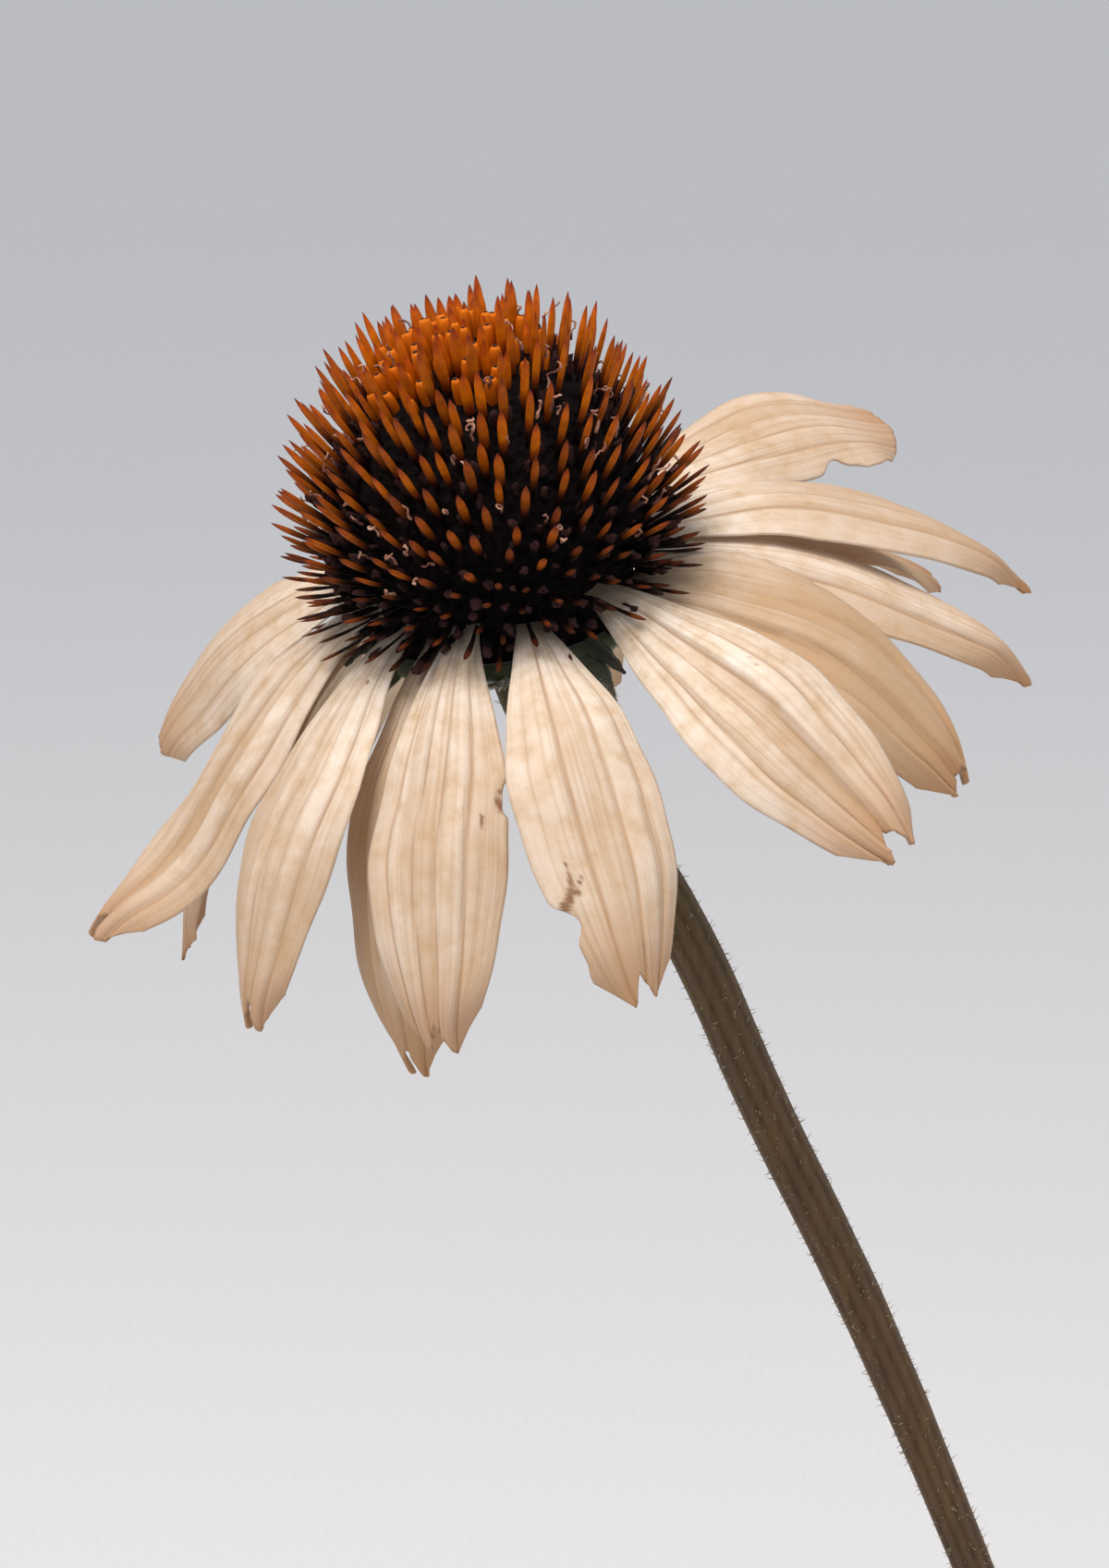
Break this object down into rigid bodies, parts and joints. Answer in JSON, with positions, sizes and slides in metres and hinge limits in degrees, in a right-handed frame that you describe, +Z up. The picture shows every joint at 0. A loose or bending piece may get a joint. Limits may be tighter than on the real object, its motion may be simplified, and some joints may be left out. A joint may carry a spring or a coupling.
{
  "type": "potted coneflower",
  "caption": "Potted coneflower: a spiky domed cone over drooping cream petals on a leaning stem with pointed leaves, growing in a plain tapered clay pot.",
  "frame": {"origin": "centre of the pot's foot, on the surface it stands on; the leaves reach about as far on every side of it", "axes": "+Z up, -Y to the front, the side the head nods towards and the picture is taken from, +X to the right seen from the front"},
  "size_m": [0.2086, 0.2077, 0.3441],
  "materials": {
    "terracotta": "matte",
    "compost": "matte",
    "rootstock": "matte",
    "stem": "matte",
    "leaf": "matte",
    "bract": "matte",
    "petal": "matte",
    "cone": "matte"
  },
  "bodies": {
    "root": {"pot": "terracotta", "soil": "compost", "rootstock": "rootstock", "flower_stem": "stem", "involucre": "bract", "cone": "cone", "bract_01": "bract", "bract_02": "bract", "bract_03": "bract", "bract_04": "bract", "bract_05": "bract", "bract_06": "bract", "bract_07": "bract", "bract_08": "bract", "bract_09": "bract", "bract_10": "bract", "bract_11": "bract", "bract_12": "bract", "petal_01": "petal", "petal_02": "petal", "petal_03": "petal", "petal_04": "petal", "petal_05": "petal", "petal_06": "petal", "petal_07": "petal", "petal_08": "petal", "petal_09": "petal", "petal_10": "petal", "petal_11": "petal", "petal_12": "petal", "petal_13": "petal", "petal_14": "petal", "petal_15": "petal", "petal_16": "petal", "petal_17": "petal", "petal_18": "petal", "basal_leaf_01": "leaf", "basal_leaf_02": "leaf", "basal_leaf_03": "leaf", "basal_leaf_04": "leaf", "basal_leaf_05": "leaf", "basal_leaf_06": "leaf", "basal_leaf_07": "leaf", "basal_leaf_08": "leaf", "basal_leaf_09": "leaf", "stem_leaf_01": "leaf", "stem_leaf_02": "leaf", "stem_leaf_03": "leaf"}
  },
  "joints": []
}
